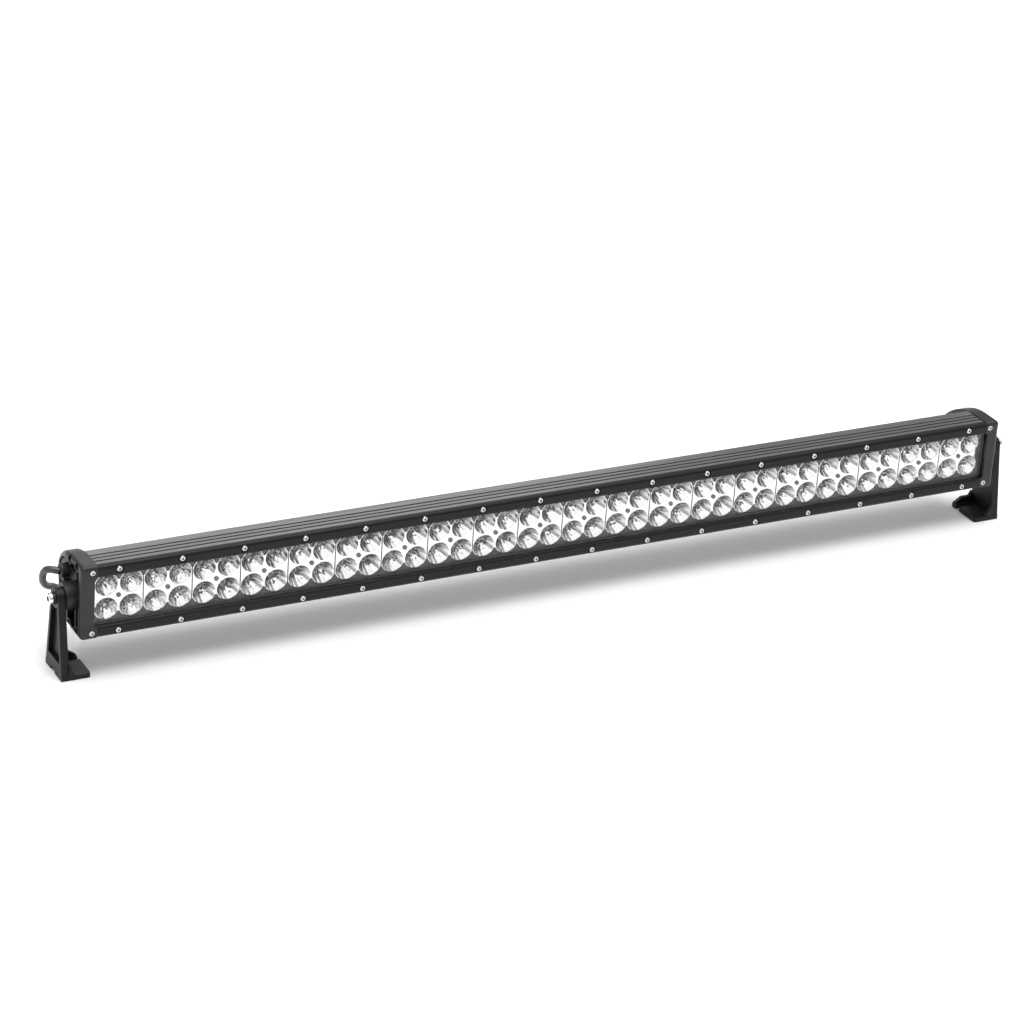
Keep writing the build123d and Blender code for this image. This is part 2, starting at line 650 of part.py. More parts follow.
def make_gland_seal():
    """Rubber sleeve squeezed round the lead inside the gland."""
    seal = rod_x(GLAND_SEAT_X - 6, GLAND_SEAT_X - 1, GLAND_Y, GLAND_Z, 4.25)
    return seal - rod_x(GLAND_SEAT_X - 7, GLAND_SEAT_X, GLAND_Y, GLAND_Z, CORD_R + 0.05)


def make_gland_nut():
    """Ribbed dome nut that closes the gland."""
    nut = rod_x(NUT_END_X, GLAND_SEAT_X - 2.8, GLAND_Y, GLAND_Z, NUT_R)
    rim = nut.edges().filter_by(GeomType.CIRCLE).sort_by(Axis.X)[0]
    nut = fillet(rim, 1.8)
    nut -= rod_x(GLAND_SEAT_X - 6.1, GLAND_SEAT_X - 2, GLAND_Y, GLAND_Z, 5.5)
    nut -= rod_x(NUT_END_X - 1, GLAND_SEAT_X - 6, GLAND_Y, GLAND_Z, CORD_R + 0.05)
    for i in range(NUT_GROOVES):
        angle = 2 * math.pi * i / NUT_GROOVES
        y = GLAND_Y + (NUT_R + 0.3) * math.cos(angle)
        z = GLAND_Z + (NUT_R + 0.3) * math.sin(angle)
        nut -= rod_x(NUT_END_X + 2.2, GLAND_SEAT_X - 2, y, z, 0.7)
    return nut


def make_vent():
    """Pressure-equalising vent plug in the right cap."""
    x = ENTRY_X
    plug = rod_x(x - 5, x, GLAND_Y, GLAND_Z, 2.95)
    head = rod_x(x, x + 3.0, GLAND_Y, GLAND_Z, 5.5)
    rim = head.edges().filter_by(GeomType.CIRCLE).sort_by(Axis.X)[-1]
    return plug + fillet(rim, 1.0)


# ---------------------------------------------------------------- supply lead
# The route of the free lead, from the gland nut to the back of its connector.
LEAD_ROUTE = [
    (NUT_END_X, GLAND_Y, GLAND_Z),
    (-536.0, 12.2, 98.6),
    (-539.8, 20.0, 94.5),
    (-539.0, 28.5, 80.0),
    (-531.0, 38.0, 67.0),
    (-518.0, 47.5, 60.0),
    (-505.0, 54.0, 46.0),
    (-492.0, 61.0, 31.0),
    (-476.0, 68.5, 18.0),
    (-456.0, 79.0, 8.0),
    (-430.0, 90.0, 3.9),
    (-396.0, 98.0, 3.8),
    (-358.0, 99.0, 3.8),
    (-322.0, 92.5, 4.6),
    (-292.0, 87.5, 6.6),
    (-269.0, 86.3, 7.8),
    (-250.0, 86.3, 7.8),
]
CONNECTOR_X = LEAD_ROUTE[-1][0]
CONNECTOR_Y = LEAD_ROUTE[-1][1]
CONNECTOR_Z = LEAD_ROUTE[-1][2]
PIN_SIDE = 2.2
PIN_R = 0.8


def bend_radii(points):
    """Largest radius that each corner of the route has room for."""
    radii = []
    for before, here, after in zip(points, points[1:], points[2:]):
        first = Vector(*here) - Vector(*before)
        second = Vector(*after) - Vector(*here)
        turn = math.radians(first.get_angle(second))
        shorter = min(first.length, second.length)
        radii.append(0.45 * shorter / math.tan(turn / 2))
    return radii


def make_lead():
    """Sheathed two-core lead, straight runs joined by tangent arcs."""
    radii = bend_radii(LEAD_ROUTE)
    path = FilletPolyline(*LEAD_ROUTE, radius=radii)
    start = Plane(origin=path @ 0, z_dir=path % 0)
    lead = sweep(start * Circle(CORD_R), path=path)
    expected = math.pi * CORD_R ** 2 * path.length
    print("lead radii", [round(r, 1) for r in radii])
    print("lead length", round(path.length, 1), "volume ratio", round(lead.volume / expected, 4))
    return lead


def make_connector_body():
    """Two-pin sealed connector shell, lying behind the bar."""
    x, y = CONNECTOR_X, CONNECTOR_Y
    shell = block(x, x + 24, y - 8, y + 8, 0.3, 0.3 + 15)
    shell = fillet(shell.edges().filter_by(Axis.X), 2.5)
    nose = block(x + 24, x + 38, y - 6.2, y + 6.2, 2.2, 13.4)
    nose = fillet(nose.edges().filter_by(Axis.X), 2.0)
    body = shell + nose
    body -= block(x + 26, x + 39, y - 4.8, y + 4.8, 3.8, 11.8)
    body += block(x + 6, x + 20, y - 3, y + 3, 15.2, 17.4)
    for side in (-PIN_SIDE, PIN_SIDE):
        body -= rod_x(x + 20, x + 27, y + side, CONNECTOR_Z, PIN_R)
    return body - rod_x(x - 1, x + 9, y, CONNECTOR_Z, CORD_R + 0.6)


def make_connector_seal():
    """Soft plug that seals the lead into its connector."""
    return rod_x(CONNECTOR_X, CONNECTOR_X + 9, CONNECTOR_Y, CONNECTOR_Z, CORD_R + 0.6)


def make_connector_pins():
    """The two contacts inside the connector's nose."""
    pins = []
    for side in (-PIN_SIDE, PIN_SIDE):
        y = CONNECTOR_Y + side
        pins.append(rod_x(CONNECTOR_X + 20, CONNECTOR_X + 31, y, CONNECTOR_Z, PIN_R))
    return pins


def make_inner_leads():
    """The two cores from the gland to the first board."""
    x = -(WIRE_X0 + WIRE_X1) / 2
    y = GLAND_Y - 1.0
    cores = []
    for side in (-1.5, 1.5):
        core = rod_x(GLAND_SEAT_X + 0.5, x, y, GLAND_Z + side, 1.0)
        core += rod_y(-18, y, x, GLAND_Z + side, 1.0)
        core += rod_x(x, -506, -18, GLAND_Z + side, 1.0)
        cores.append(core)
    return cores


# ---------------------------------------------------------------- build every node
def main():
    """Model each piece and write it."""
    os.makedirs("parts", exist_ok=True)
    top_bezel = make_top_bezel()
    save("housing", make_housing())
    save("top_bezel", top_bezel)
    save("bottom_bezel", mirror(top_bezel, about=Plane.XY.offset(MID_Z)))
    save("bezel_screws", *make_bezel_screws(strip_screw_spots(), STRIP_SCREW_L))
    save("corner_screws", *make_bezel_screws(corner_screw_spots(), CORNER_SCREW_L))
    save("lens", make_lens())
    save("lens_gasket", make_lens_gasket())
    reflector = make_reflector()
    for number, x in enumerate(module_centres(), start=1):
        save(f"reflector_{number:02d}", Pos(x, 0, 0) * reflector)
    save("reflector_screws", *[make_reflector_screw(x) for x in module_centres()])
    save("backing_panel", make_backing_panel())
    for index in range(BOARD_COUNT):
        save(f"led_board_{index + 1}", make_board(index))
    save("leds", *make_emitters())
    save("left_end_cap", make_left_cap())
    save("right_end_cap", make_right_cap())
    cap_gasket = make_cap_gasket()
    save("right_cap_gasket", cap_gasket)
    save("left_cap_gasket", mirrored(cap_gasket))
    save("end_cap_screws", *make_cap_screws())
    for node, shape in (
        ("bracket", make_right_bracket()),
        ("pivot_bolt", make_pivot_bolt()),
        ("flat_washer", make_flat_washer()),
        ("spring_washer", make_spring_washer()),
        ("pivot_insert", make_pivot_insert()),
    ):
        save("right_" + node, shape)
        save("left_" + node, mirrored(shape))
    save("gland_body", make_gland_body())
    save("gland_seal", make_gland_seal())
    save("gland_nut", make_gland_nut())
    save("pressure_vent", make_vent())
    save("supply_lead", make_lead())
    save("connector_body", make_connector_body())
    save("connector_seal", make_connector_seal())
    save("connector_pins", *make_connector_pins())
    save("inner_leads", *make_inner_leads())


main()
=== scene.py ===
import json
import math

import bmesh
import bpy
from mathutils import Matrix, Vector


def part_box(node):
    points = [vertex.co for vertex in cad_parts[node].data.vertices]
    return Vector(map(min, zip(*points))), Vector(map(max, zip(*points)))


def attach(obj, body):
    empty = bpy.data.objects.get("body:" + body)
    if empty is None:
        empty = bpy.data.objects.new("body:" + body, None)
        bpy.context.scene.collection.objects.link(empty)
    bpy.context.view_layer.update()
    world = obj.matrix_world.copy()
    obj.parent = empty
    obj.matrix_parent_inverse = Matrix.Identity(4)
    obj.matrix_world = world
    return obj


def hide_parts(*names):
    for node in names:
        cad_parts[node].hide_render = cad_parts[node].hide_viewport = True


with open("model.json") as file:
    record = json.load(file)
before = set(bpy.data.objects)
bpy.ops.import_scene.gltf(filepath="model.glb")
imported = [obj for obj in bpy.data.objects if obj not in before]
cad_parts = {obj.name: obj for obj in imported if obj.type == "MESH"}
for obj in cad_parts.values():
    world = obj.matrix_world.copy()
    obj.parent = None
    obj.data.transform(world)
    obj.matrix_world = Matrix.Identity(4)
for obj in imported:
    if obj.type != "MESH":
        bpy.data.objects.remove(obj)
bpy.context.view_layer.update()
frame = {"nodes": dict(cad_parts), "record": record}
nodes = frame["nodes"]
record = frame["record"]

# ---------------------------------------------------------------- camera
CAMERA_AT = (-1.64798, -2.92027, 1.68555)
CAMERA_AZIMUTH = math.radians(28.802)
CAMERA_ELEVATION = math.radians(25.643)
CAMERA_ROLL = math.radians(4.145)
CAMERA_LENS_MM = 127.48
CAMERA_SENSOR_MM = 36.0


def camera_turn():
    """The camera's rotation: it looks along the azimuth from +Y, down, and slightly rolled."""
    level = Vector((math.cos(CAMERA_AZIMUTH), -math.sin(CAMERA_AZIMUTH), 0.0))
    flat = math.cos(CAMERA_ELEVATION)
    back = Vector((
        -flat * math.sin(CAMERA_AZIMUTH),
        -flat * math.cos(CAMERA_AZIMUTH),
        math.sin(CAMERA_ELEVATION),
    ))
    right = math.cos(CAMERA_ROLL) * level + math.sin(CAMERA_ROLL) * back.cross(level)
    return Matrix((right, back.cross(right), back)).transposed().to_4x4()


def make_camera():
    """A long lens, from the left and above, as in the studio picture."""
    data = bpy.data.cameras.new("camera")
    data.lens = CAMERA_LENS_MM
    data.sensor_width = CAMERA_SENSOR_MM
    data.clip_start = 0.1
    data.clip_end = 100.0
    camera = bpy.data.objects.new("camera", data)
    bpy.context.scene.collection.objects.link(camera)
    camera.matrix_world = Matrix.Translation(CAMERA_AT) @ camera_turn()
    bpy.context.scene.camera = camera


make_camera()

# ---------------------------------------------------------------- supply lead
# The control points of the lead, from the gland nut to its connector.
LEAD_ROUTE = [
    (-0.5286, 0.0090, 0.0970),
    (-0.5360, 0.0122, 0.0986),
    (-0.5398, 0.0200, 0.0945),
    (-0.5390, 0.0285, 0.0800),
    (-0.5310, 0.0380, 0.0670),
    (-0.5180, 0.0475, 0.0600),
    (-0.5050, 0.0540, 0.0460),
    (-0.4920, 0.0610, 0.0310),
    (-0.4760, 0.0685, 0.0180),
    (-0.4560, 0.0790, 0.0080),
    (-0.4300, 0.0900, 0.0039),
    (-0.3960, 0.0980, 0.0038),
    (-0.3580, 0.0990, 0.0038),
    (-0.3220, 0.0925, 0.0046),
    (-0.2920, 0.0875, 0.0066),
    (-0.2690, 0.0863, 0.0078),
    (-0.2500, 0.0863, 0.0078),
]
LEAD_RADIUS = 0.0036


def make_lead():
    """The sheathed lead as one smooth spline."""
    curve = bpy.data.curves.new("supply_lead_cord", "CURVE")
    curve.dimensions = "3D"
    spline = curve.splines.new("NURBS")
    spline.points.add(len(LEAD_ROUTE) - 1)
    for point, place in zip(spline.points, LEAD_ROUTE):
        point.co = (*place, 1.0)
        point.radius = LEAD_RADIUS
    spline.order_u = 3
    spline.use_endpoint_u = True
    spline.resolution_u = 12
    curve.bevel_depth = 1.0
    curve.bevel_resolution = 6
    curve.use_fill_caps = True
    lead = bpy.data.objects.new("supply_lead_cord", curve)
    bpy.context.scene.collection.objects.link(lead)
    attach(lead, "bar")
    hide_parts("supply_lead")
    return lead


lead = make_lead()


# ---------------------------------------------------------------- material helpers
class Nodes:
    """A material under construction, with its one Principled shader."""

    def __init__(self, name, color, roughness, metallic=0.0):
        self.material = bpy.data.materials.new(name)
        self.material.use_nodes = True
        self.tree = self.material.node_tree
        self.shader = self.tree.nodes["Principled BSDF"]
        self.shader.inputs["Base Color"].default_value = (*color, 1.0)
        self.shader.inputs["Roughness"].default_value = roughness
        self.shader.inputs["Metallic"].default_value = metallic
        self.place = self.add("ShaderNodeTexCoord").outputs["Object"]
        self.normal = None

    def add(self, kind, **values):
        """A new node with its settings."""
        node = self.tree.nodes.new(kind)
        for key, value in values.items():
            setattr(node, key, value)
        return node

    def link(self, source, target):
        """Joins an output to an input."""
        self.tree.links.new(source, target)

    def set(self, **values):
        """Constant values on the shader's own sockets."""
        for key, value in values.items():
            self.shader.inputs[key.replace("_", " ")].default_value = value
        return self

    def noise(self, scale, stretch=(1, 1, 1), detail=3.0, roughness=0.5):
        """Noise over the piece. scale is per metre."""
        mapping = self.add("ShaderNodeMapping")
        mapping.inputs["Scale"].default_value = [scale * s for s in stretch]
        self.link(self.place, mapping.inputs["Vector"])
        noise = self.add("ShaderNodeTexNoise")
        noise.inputs["Scale"].default_value = 1.0
        noise.inputs["Detail"].default_value = detail
        noise.inputs["Roughness"].default_value = roughness
        self.link(mapping.outputs["Vector"], noise.inputs["Vector"])
        return noise.outputs["Fac"]

    def ranged(self, source, low, high, start=0.3, end=0.7):
        """source, spread from low to high."""
        node = self.add("ShaderNodeMapRange")
        node.inputs["From Min"].default_value = start
        node.inputs["From Max"].default_value = end
        node.inputs["To Min"].default_value = low
        node.inputs["To Max"].default_value = high
        self.link(source, node.inputs["Value"])
        return node.outputs["Result"]

    def mixed(self, source, low, high, start=0.3, end=0.7):
        """A colour between low and high."""
        ramp = self.add("ShaderNodeValToRGB")
        ramp.color_ramp.elements[0].position = start
        ramp.color_ramp.elements[0].color = (*low, 1.0)
        ramp.color_ramp.elements[1].position = end
        ramp.color_ramp.elements[1].color = (*high, 1.0)
        self.link(source, ramp.inputs["Fac"])
        return ramp.outputs["Color"]

    def color(self, source, low, high, start=0.3, end=0.7):
        """Base colour from low to high."""
        self.link(self.mixed(source, low, high, start, end), self.shader.inputs["Base Color"])
        return self

    def rough(self, source, low, high, start=0.3, end=0.7):
        """Roughness from low to high."""
        self.link(self.ranged(source, low, high, start, end), self.shader.inputs["Roughness"])
        return self

    def bump(self, source, strength, depth):
        """Adds a bump to those already there. depth is in metres."""
        bump = self.add("ShaderNodeBump")
        bump.inputs["Strength"].default_value = strength
        bump.inputs["Distance"].default_value = depth
        self.link(source, bump.inputs["Height"])
        if self.normal is not None:
            self.link(self.normal, bump.inputs["Normal"])
        self.normal = bump.outputs["Normal"]
        self.link(self.normal, self.shader.inputs["Normal"])
        return self


def grey(value, tint=(1.0, 1.0, 1.0)):
    """A neutral colour with a slight tint."""
    return tuple(value * t for t in tint)


COOL = (0.97, 0.99, 1.03)
WARM = (1.03, 1.0, 0.96)


def anodised(name, dark, light, rough, metallic, specular):
    """Satin anodised extrusion, with fine lengthwise draw lines."""
    m = Nodes(name, grey(dark), rough, metallic)
    m.set(Specular_IOR_Level=specular)
    lines = m.noise(1200.0, stretch=(0.006, 1, 1), detail=4.0)
    patches = m.noise(14.0, stretch=(0.4, 1, 1), detail=2.0)
    m.color(lines, grey(dark, COOL), grey(light, COOL))
    m.rough(patches, rough - 0.04, rough + 0.05)
    m.bump(lines, 0.35, 0.00004)
    m.bump(m.noise(3200.0, detail=2.0), 0.2, 0.00003)
    return m


def powder_coat(name, dark, light, rough, specular, depth=0.00007):
    """Fine-grained powder coat over a casting."""
    m = Nodes(name, grey(dark), rough)
    m.set(Specular_IOR_Level=specular)
    grain = m.noise(1500.0, detail=3.0, roughness=0.6)
    m.color(m.noise(60.0, detail=5.0), grey(dark, COOL), grey(light, COOL))
    m.rough(grain, rough - 0.08, rough + 0.08)
    m.bump(grain, 0.4, depth)
    m.bump(m.noise(220.0, detail=2.0), 0.25, 0.00012)
    return m


def bare_steel(name, dark, light, rough):
    """Machined stainless or plated steel."""
    m = Nodes(name, grey(light), rough, metallic=1.0)
    swirl = m.noise(2400.0, stretch=(1, 0.15, 1), detail=3.0)
    m.color(m.noise(500.0, detail=4.0), grey(dark, WARM), grey(light))
    m.rough(swirl, rough - 0.05, rough + 0.08)
    m.bump(swirl, 0.25, 0.00003)
    return m


def moulded(name, dark, light, rough, grain_scale=1800.0, depth=0.00006):
    """Moulded plastic or rubber with a fine spark-eroded grain."""
    m = Nodes(name, grey(dark), rough)
    grain = m.noise(grain_scale, detail=2.0)
    m.color(m.noise(90.0, detail=4.0), grey(dark), grey(light))
    m.rough(grain, rough - 0.07, rough + 0.07)
    m.bump(grain, 0.35, depth)
    return m


MODULE_PITCH = 0.0508
# Half width of the painted shade in a joint between modules, as a share of the pitch.
SEAM_SHARE = 0.008
# The shade near the LED starts at the first depth and is full at the second.
THROAT_SHADE_Y = (-0.0212, -0.0176)
# How far the streaks move that shade's edge.
STREAK_REACH = 0.007
MIRROR_LIGHT = 0.92
MIRROR_SHADE = 0.08


def seam_shade_mask(m):
    """1 in the joint between two reflector modules, where shade is painted, else 0."""
    split = m.add("ShaderNodeSeparateXYZ")
    m.link(m.place, split.inputs["Vector"])
    share = m.add("ShaderNodeMath", operation="DIVIDE")
    share.inputs[1].default_value = MODULE_PITCH
    m.link(split.outputs["X"], share.inputs[0])
    nearest = m.add("ShaderNodeMath", operation="ROUND")
    m.link(share.outputs[0], nearest.inputs[0])
    away = m.add("ShaderNodeMath", operation="SUBTRACT")
    m.link(share.outputs[0], away.inputs[0])
    m.link(nearest.outputs[0], away.inputs[1])
    size = m.add("ShaderNodeMath", operation="ABSOLUTE")
    m.link(away.outputs[0], size.inputs[0])
    return m.ranged(size.outputs[0], 1.0, 0.0, SEAM_SHARE, 2 * SEAM_SHARE)


def throat_shade_mask(m, streaks):
    """1 deep in a cup, next to the unlit LED, where shade is painted, with a ragged edge of streaks.
    """
    split = m.add("ShaderNodeSeparateXYZ")
    m.link(m.place, split.inputs["Vector"])
    reach = m.ranged(streaks, -STREAK_REACH, STREAK_REACH, 0.25, 0.75)
    depth = m.add("ShaderNodeMath", operation="ADD")
    m.link(split.outputs["Y"], depth.inputs[0])
    m.link(reach, depth.inputs[1])
    return m.ranged(depth.outputs[0], 0.0, 1.0, *THROAT_SHADE_Y)


def mirror_coat():
    """Vacuum-metallised reflector, with shade painted dark near the LEDs and in the joints between
    modules.
    """
    m = Nodes("reflector_mirror", grey(0.95), 0.06, metallic=1.0)
    streaks = m.noise(480.0, stretch=(1, 0.08, 1), detail=2.0)
    # The darker of the two masks sets where shade is painted on the mirror.
    shade = m.add("ShaderNodeMath", operation="MAXIMUM")
    m.link(seam_shade_mask(m), shade.inputs[0])
    m.link(throat_shade_mask(m, streaks), shade.inputs[1])
    m.color(shade.outputs[0], grey(MIRROR_LIGHT), grey(MIRROR_SHADE), 0.0, 1.0)
    m.rough(m.noise(260.0, detail=4.0), 0.05, 0.11)
    m.bump(m.noise(340.0, detail=2.0), 0.18, 0.00012)
    m.bump(streaks, 0.35, 0.00012)
    return m


# How much of the light the lens mirrors, from face on to edge on.
LENS_GLOSS = ((0.0, 0.02), (0.5, 0.05), (0.8, 0.3), (1.0, 1.0))


def clear_lens():
    """Polycarbonate that mirrors at a glancing angle and lets the rest through."""
    material = bpy.data.materials.new("lens_polycarbonate")
    material.use_nodes = True
    tree = material.node_tree
    tree.nodes.remove(tree.nodes["Principled BSDF"])
    output = tree.nodes["Material Output"]
    through = tree.nodes.new("ShaderNodeBsdfTransparent")
    through.inputs["Color"].default_value = (0.985, 0.99, 0.99, 1.0)
    mirror = tree.nodes.new("ShaderNodeBsdfGlossy")
    mirror.inputs["Roughness"].default_value = 0.03
    glance = tree.nodes.new("ShaderNodeLayerWeight")
    glance.inputs["Blend"].default_value = 0.5
    face = tree.nodes.new("ShaderNodeNewGeometry")
    share = tree.nodes.new("ShaderNodeValToRGB")
    stops = share.color_ramp.elements
    for place, _ in LENS_GLOSS[1:-1]:
        stops.new(place)
    for stop, (place, value) in zip(stops, LENS_GLOSS):
        stop.position = place
        stop.color = (value, value, value, 1.0)
    mix = tree.nodes.new("ShaderNodeMixShader")
    tree.links.new(face.outputs["True Normal"], glance.inputs["Normal"])
    tree.links.new(face.outputs["True Normal"], mirror.inputs["Normal"])
    tree.links.new(glance.outputs["Facing"], share.inputs["Fac"])
    tree.links.new(share.outputs["Color"], mix.inputs["Fac"])
    tree.links.new(through.outputs["BSDF"], mix.inputs[1])
    tree.links.new(mirror.outputs["BSDF"], mix.inputs[2])
    tree.links.new(mix.outputs["Shader"], output.inputs["Surface"])
    return material


def grained_panel():
    """Dark grey panel with a coarse painted grain."""
    m = Nodes("panel_grain", grey(0.07), 0.6)
    grain = m.noise(1100.0, detail=3.0, roughness=0.65)
    m.color(grain, grey(0.035), grey(0.12, COOL), 0.35, 0.68)
    m.rough(grain, 0.5, 0.7)
    m.bump(grain, 0.5, 0.0001)
    return m


def solder_mask():
    """White board with a little dirt and weave under the mask."""
    m = Nodes("board_mask", grey(0.8), 0.35)
    m.color(m.noise(700.0, detail=3.0), (0.74, 0.75, 0.72), (0.86, 0.87, 0.85))
    m.bump(m.noise(1800.0, detail=2.0), 0.2, 0.00004)
    return m


def phosphor():
    """Yellow phosphor under a clear silicone dome, its colour kept dark as painted shade deep in the
    cup.
    """
    # Dark yellow base colour: painted shade, not the phosphor's own tone.
    m = Nodes("led_phosphor", (0.2, 0.16, 0.05), 0.3)
    m.set(Coat_Weight=0.8, Coat_Roughness=0.06)
    m.color(m.noise(1500.0, detail=3.0), (0.16, 0.12, 0.03), (0.24, 0.2, 0.07))
    m.bump(m.noise(2600.0, detail=2.0), 0.15, 0.00003)
    return m


def coloured_core():
    """Soft PVC insulation of the two cores."""
    m = Nodes("core_pvc", (0.45, 0.03, 0.03), 0.4)
    m.color(m.noise(400.0, detail=3.0), (0.38, 0.02, 0.02), (0.55, 0.05, 0.04))
    m.bump(m.noise(1600.0, detail=2.0), 0.2, 0.00004)
    return m


def brass(name, dark, light):
    """Turned brass."""
    m = Nodes(name, light, 0.3, metallic=1.0)
    rings = m.noise(1800.0, stretch=(1, 0.2, 0.2), detail=3.0)
    m.color(rings, dark, light)
    m.rough(rings, 0.25, 0.38)
    m.bump(rings, 0.2, 0.00003)
    return m


def sheath():
    """Smooth PVC sheath, slightly glossy."""
    m = Nodes("sheath_pvc", grey(0.035), 0.38)
    m.set(Specular_IOR_Level=0.6)
    m.color(m.noise(80.0, detail=4.0), grey(0.028), grey(0.05, COOL))
    m.rough(m.noise(500.0, detail=3.0), 0.3, 0.45)
    m.bump(m.noise(1300.0, detail=2.0), 0.3, 0.00005)
    return m


finishes = {
    "housing_black": anodised(
        "housing_anodised", dark=0.13, light=0.24, rough=0.36, metallic=0.75, specular=0.5).material,
    "bezel_black": anodised(
        "bezel_anodised", dark=0.005, light=0.012, rough=0.3, metallic=0.1, specular=0.25).material,
    "cap_black": powder_coat("cap_coat", dark=0.011, light=0.022, rough=0.4, specular=0.4).material,
    "bracket_black": powder_coat(
        "bracket_coat", dark=0.004, light=0.009, rough=0.42, specular=0.25).material,
    "stainless_screws": bare_steel("screw_steel", 0.6, 0.78, 0.26).material,
    "reflector_screw_steel": bare_steel("reflector_screw_zinc", 0.1, 0.25, 0.35).material,
    "pivot_steel": bare_steel("pivot_stainless", 0.72, 0.9, 0.16).material,
    "washer_black": bare_steel("washer_blackened", 0.05, 0.09, 0.4).material,
    "insert_brass": brass("insert_turned", (0.45, 0.3, 0.12), (0.7, 0.52, 0.26)).material,
    "lens_clear": clear_lens(),
    "seal_rubber": moulded("seal_silicone", 0.015, 0.028, 0.62).material,
    "reflector_chrome": mirror_coat().material,
    "panel_grey": grained_panel().material,
    "board_white": solder_mask().material,
    "led_yellow": phosphor().material,
    "gland_plastic": moulded("gland_nylon", 0.014, 0.028, 0.45).material,
    "lead_sheath": sheath().material,
    "connector_plastic": moulded("connector_nylon", 0.022, 0.04, 0.5).material,
    "contact_brass": brass("contact_tinned", (0.5, 0.45, 0.36), (0.75, 0.7, 0.6)).material,
    "core_insulation": coloured_core().material,
}

for part in record["subparts"]:
    surfaces = nodes[part["node"]].data.materials
    surfaces.clear()
    surfaces.append(finishes[part["material_slot"]])
lead.data.materials.append(finishes["lead_sheath"])


# ---------------------------------------------------------------- painted shade in screw sockets
# Faces no deeper than this belong to the head's own top.
SOCKET_SKIN = 0.00005
# Radius and depth within which a face belongs to the socket.
SMALL_SOCKET = (0.0016, 0.0014)
PIVOT_SOCKET = (0.003, 0.0025)
ALONG_X, ALONG_Y = 0, 1


def islands(mesh):
    """The separate solids of a mesh, each as a list of polygon indices."""
    edit = bmesh.new()
    edit.from_mesh(mesh)
    seen = set()
    found = []
    for first in edit.faces:
        if first.index in seen:
            continue
        seen.add(first.index)
        stack = [first]
        group = []
        while stack:
            face = stack.pop()
            group.append(face.index)
            for vertex in face.verts:
                for other in vertex.link_faces:
                    if other.index not in seen:
                        seen.add(other.index)
                        stack.append(other)
        found.append(group)
    edit.free()
    return found


def middle(values):
    """Halfway between the least and the greatest."""
    return (min(values) + max(values)) / 2


def paint_socket_shade(node, axis, socket, material):
    """Painted shade inside each head's hexagon. Heads face -Y, or away from the middle along X."""
    radius, depth = socket
    mesh = nodes[node].data
    world = nodes[node].matrix_world
    mesh.materials.append(material)
    side = (axis + 1) % 3
    up = (axis + 2) % 3
    for group in islands(mesh):
        corners = [world @ mesh.vertices[v].co for p in group for v in mesh.polygons[p].vertices]
        sign = 1.0 if axis == ALONG_X and sum(c[axis] for c in corners) > 0 else -1.0
        front = max(sign * c[axis] for c in corners)
        a = middle([c[side] for c in corners])
        b = middle([c[up] for c in corners])
        for p in group:
            place = world @ mesh.polygons[p].center
            deep = front - sign * place[axis]
            if SOCKET_SKIN < deep < depth and math.hypot(place[side] - a, place[up] - b) < radius:
                mesh.polygons[p].material_index = 1


# Near-black steel laid on the socket faces as painted shade in the recess.
socket_painted_shade = bare_steel("socket_shade", 0.004, 0.012, 0.5).material
for name in ("bezel_screws", "corner_screws"):
    paint_socket_shade(name, ALONG_Y, SMALL_SOCKET, socket_painted_shade)
for name in ("left_pivot_bolt", "right_pivot_bolt"):
    paint_socket_shade(name, ALONG_X, PIVOT_SOCKET, socket_painted_shade)


# ---------------------------------------------------------------- faceted cup liners
CUP_PITCH = MODULE_PITCH / 2
MOUTH_R = 0.01155
THROAT_R = 0.0033
LINER_T = 0.00015
LINER_SETBACK = 0.0001
LINER_DEPTH = 0.0132
LINER_SEGMENTS = 20
LINER_RINGS = 4
FACETED_MODULES = (1, 2, 19, 20)


def liner_radius(share):
    """Radius of the bowl at a share of its depth, 0 at the mouth and 1 at the throat."""
    return math.sqrt(MOUTH_R ** 2 + (THROAT_R ** 2 - MOUTH_R ** 2) * share)


def add_liner(edit, x, y, z):
    """A closed thin bowl of flat facets. Its mouth is at depth y."""
    sheets = []
    for thickness in (0.0, LINER_T):
        rings = []
        for ring in range(LINER_RINGS + 1):
            share = ring / LINER_RINGS
            radius = liner_radius(share) - thickness
            shift = 0.5 * (ring % 2)
            rings.append([
                edit.verts.new((
                    x + radius * math.cos(math.tau * (i + shift) / LINER_SEGMENTS),
                    y + share * LINER_DEPTH,
                    z + radius * math.sin(math.tau * (i + shift) / LINER_SEGMENTS),
                )) for i in range(LINER_SEGMENTS)])
        for ring, (near, far) in enumerate(zip(rings, rings[1:])):
            for i in range(LINER_SEGMENTS):
                j = (i + 1) % LINER_SEGMENTS
                if ring % 2 == 0:
                    triangles = ((near[i], near[j], far[i]), (near[j], far[j], far[i]))
                else:
                    triangles = ((near[i], near[j], far[j]), (near[i], far[j], far[i]))
                for triangle in triangles:
                    edit.faces.new(triangle)
        sheets.append(rings)
    outer, inner = sheets
    for level in (0, -1):
        for i in range(LINER_SEGMENTS):
            j = (i + 1) % LINER_SEGMENTS
            edit.faces.new((outer[level][i], outer[level][j], inner[level][j], inner[level][i]))


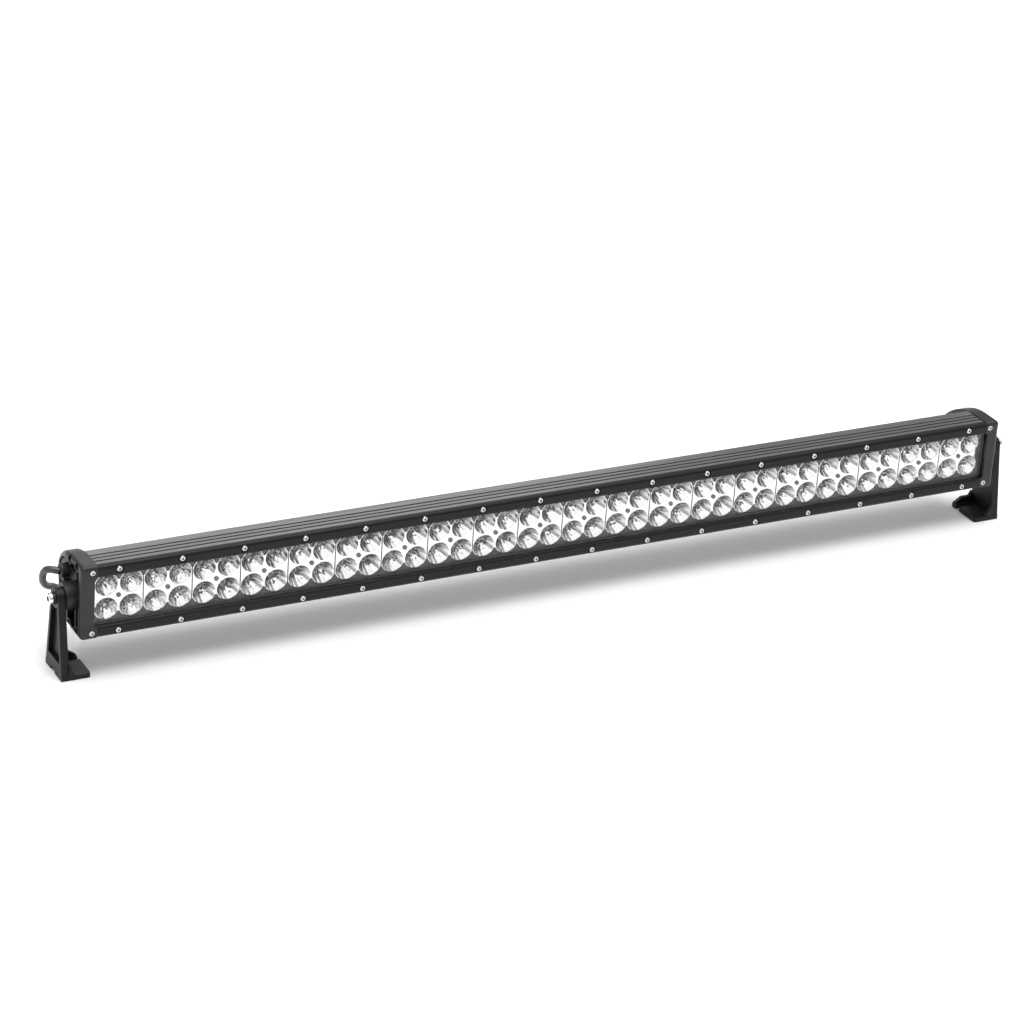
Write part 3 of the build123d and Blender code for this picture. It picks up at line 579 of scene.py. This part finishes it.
def make_liners():
    """Faceted bowls in the outermost modules."""
    mesh = bpy.data.meshes.new("cup_liners")
    edit = bmesh.new()
    for number in FACETED_MODULES:
        low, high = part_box(f"reflector_{number:02d}")
        middle_x = middle((low[0], high[0]))
        middle_z = middle((low[2], high[2]))
        for side in (-0.5, 0.5):
            for up in (-0.5, 0.5):
                x = middle_x + side * CUP_PITCH
                add_liner(edit, x, low[1] + LINER_SETBACK, middle_z + up * CUP_PITCH)
    bmesh.ops.recalc_face_normals(edit, faces=edit.faces)
    edit.to_mesh(mesh)
    edit.free()
    mesh.materials.append(finishes["reflector_chrome"])
    liners = bpy.data.objects.new("cup_liners", mesh)
    bpy.context.scene.collection.objects.link(liners)
    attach(liners, "bar")


make_liners()


# ---------------------------------------------------------------- floor and light
FLOOR_HALF = 30.0
# Just under the feet, so that no two faces meet.
FLOOR_Z = -0.0002


def make_floor():
    """A plain pale floor."""
    half = FLOOR_HALF
    mesh = bpy.data.meshes.new("floor")
    edit = bmesh.new()
    corners = [edit.verts.new((x, y, FLOOR_Z)) for x, y in
               ((-half, -half), (half, -half), (half, half), (-half, half))]
    edit.faces.new(corners)
    edit.to_mesh(mesh)
    edit.free()
    floor = bpy.data.objects.new("floor", mesh)
    bpy.context.scene.collection.objects.link(floor)
    m = Nodes("floor_paper", grey(0.9), 0.9)
    m.set(Specular_IOR_Level=0.1)
    m.color(m.noise(4.0, detail=3.0), grey(0.89), grey(0.91))
    mesh.materials.append(m.material)


def make_sun(name, strength, spread, toward):
    """A broad light from one direction. spread is its angular size in degrees."""
    data = bpy.data.lights.new(name, "SUN")
    data.energy = strength
    data.angle = math.radians(spread)
    lamp = bpy.data.objects.new(name, data)
    lamp.rotation_mode = "QUATERNION"
    lamp.rotation_quaternion = Vector(toward).to_track_quat("-Z", "Y")
    bpy.context.scene.collection.objects.link(lamp)


def make_softbox(name, power, size, place, target):
    """A rectangular softbox that looks at target."""
    data = bpy.data.lights.new(name, "AREA")
    data.shape = "RECTANGLE"
    data.size, data.size_y = size
    data.energy = power
    lamp = bpy.data.objects.new(name, data)
    lamp.location = place
    lamp.rotation_mode = "QUATERNION"
    lamp.rotation_quaternion = (Vector(target) - Vector(place)).to_track_quat("-Z", "Y")
    lamp.visible_camera = False
    bpy.context.scene.collection.objects.link(lamp)


def make_world(horizon, zenith, low, high):
    """White surroundings: strength horizon below direction height low, zenith above high."""
    world = bpy.data.worlds.new("studio")
    world.use_nodes = True
    tree = world.node_tree
    place = tree.nodes.new("ShaderNodeTexCoord")
    split = tree.nodes.new("ShaderNodeSeparateXYZ")
    ramp = tree.nodes.new("ShaderNodeValToRGB")
    ramp.color_ramp.elements[0].position = low
    ramp.color_ramp.elements[0].color = (horizon, horizon, horizon, 1.0)
    ramp.color_ramp.elements[1].position = high
    ramp.color_ramp.elements[1].color = (zenith, zenith, zenith, 1.0)
    tree.links.new(place.outputs["Generated"], split.inputs["Vector"])
    tree.links.new(split.outputs["Z"], ramp.inputs["Fac"])
    tree.links.new(ramp.outputs["Color"], tree.nodes["Background"].inputs["Color"])
    tree.nodes["Background"].inputs["Strength"].default_value = 1.0
    bpy.context.scene.world = world


make_floor()
make_world(horizon=0.42, zenith=1.1, low=0.5, high=0.78)
make_sun("overhead", strength=2.1, spread=46.0, toward=(0.0, 0.12, -1.0))
make_softbox("back", power=2.6, size=(1.1, 0.7), place=(0.25, 1.3, 0.8), target=(-0.15, 0.0, 0.1))
bpy.context.scene.view_settings.view_transform = "Standard"
